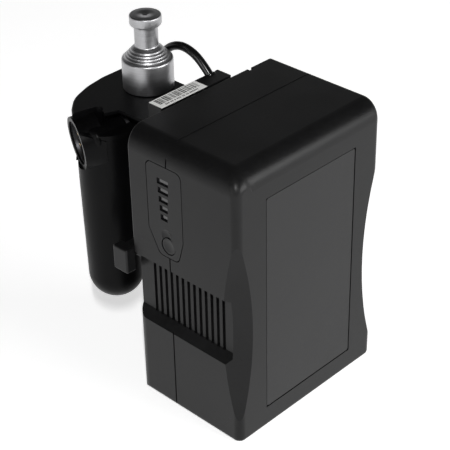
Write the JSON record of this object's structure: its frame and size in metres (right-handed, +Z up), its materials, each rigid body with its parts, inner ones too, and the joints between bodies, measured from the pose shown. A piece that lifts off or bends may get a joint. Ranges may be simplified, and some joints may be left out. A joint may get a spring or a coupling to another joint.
{
  "type": "monolight battery grip",
  "caption": "Battery power grip for a studio monolight: wedge-mounted battery, lock plate, hand grip, angled power socket and stand spigot.",
  "frame": {"origin": "centre of the flat base of the battery, which the object stands on", "axes": "+X along the battery width towards the side without the charge gauge, +Y from the label face towards the grip, +Z up along the spigot"},
  "size_m": [0.1037, 0.1329, 0.179],
  "materials": {
    "bright_metal": "turned and nickel plated",
    "button_plastic": "satin",
    "case_plastic": "fine moulded texture",
    "cell_sleeve": "shrink sleeve over a can",
    "circuit_board": "solder mask",
    "component_plastic": "moulded",
    "contact_metal": "gold plated",
    "core_metal": "extruded",
    "gauge_plastic": "fine moulded texture",
    "grip_plastic": "satin, slightly soft",
    "head_plastic": "fine moulded texture",
    "holder_plastic": "moulded",
    "insert_plastic": "moulded",
    "label_paper": "printed with plain bars",
    "label_plastic": "smooth satin",
    "lead_rubber": "extruded sheath",
    "lever_plastic": "fine moulded texture",
    "mount_plastic": "fine moulded texture",
    "nickel": "rolled strip",
    "screw_steel": "black oxide",
    "socket_metal": "nickel plated",
    "socket_plastic": "fine moulded texture",
    "spring_steel": "drawn wire",
    "window_plastic": "smoked and polished"
  },
  "bodies": {
    "grip": {"barcode_sticker": "label_paper", "converter_board": "circuit_board", "converter_components": "component_plastic", "grip_core_nut": "core_metal", "grip_core_tube": "core_metal", "grip_shell": "grip_plastic", "head_lower_shell": "head_plastic", "head_screws": "screw_steel", "head_upper_shell": "head_plastic", "jumper_lead": "lead_rubber", "lead_gland_head": "lead_rubber", "lead_gland_plate": "lead_rubber", "lever_guide": "mount_plastic", "lock_pin": "bright_metal", "lock_plate": "mount_plastic", "lock_ring": "bright_metal", "plate_contact_block": "mount_plastic", "plate_contact_pins": "contact_metal", "plate_screws": "screw_steel", "release_spring": "spring_steel", "socket_housing": "socket_plastic", "socket_insert": "insert_plastic", "socket_metal_shell": "socket_metal", "socket_pins": "contact_metal", "spigot": "bright_metal", "spigot_bolt": "screw_steel", "spigot_washer": "screw_steel"},
    "battery": {"battery_back_shell": "case_plastic", "battery_contact_block": "mount_plastic", "battery_contacts": "contact_metal", "battery_front_shell": "case_plastic", "battery_label_panel": "label_plastic", "battery_wedge": "mount_plastic", "case_screws": "screw_steel", "cell_holders": "holder_plastic", "cells_lower": "cell_sleeve", "cells_upper": "cell_sleeve", "gauge_board": "circuit_board", "gauge_leds_and_switch": "component_plastic", "gauge_panel": "gauge_plastic", "gauge_windows": "window_plastic", "nickel_strips": "nickel", "protection_board": "circuit_board", "wedge_screws": "screw_steel"},
    "gauge_button": {"gauge_button": "button_plastic"},
    "release_lever": {"release_lever": "lever_plastic"}
  },
  "joints": [
    {"name": "battery_lift", "type": "slide", "parent": "grip", "child": "battery", "axis": [0, 0, 1], "range_m": [0, 0.03]},
    {"name": "gauge_button_press", "type": "slide", "parent": "battery", "child": "gauge_button", "axis": [1, 0, 0], "range_m": [0, 0.0008], "stiffness_N_per_m": 1200, "springref_m": -0.0006},
    {"name": "release_lever_slide", "type": "slide", "parent": "grip", "child": "release_lever", "axis": [1, 0, 0], "range_m": [0, 0.0035], "stiffness_N_per_m": 700, "springref_m": -0.002, "deforming": ["release_spring"]}
  ]
}
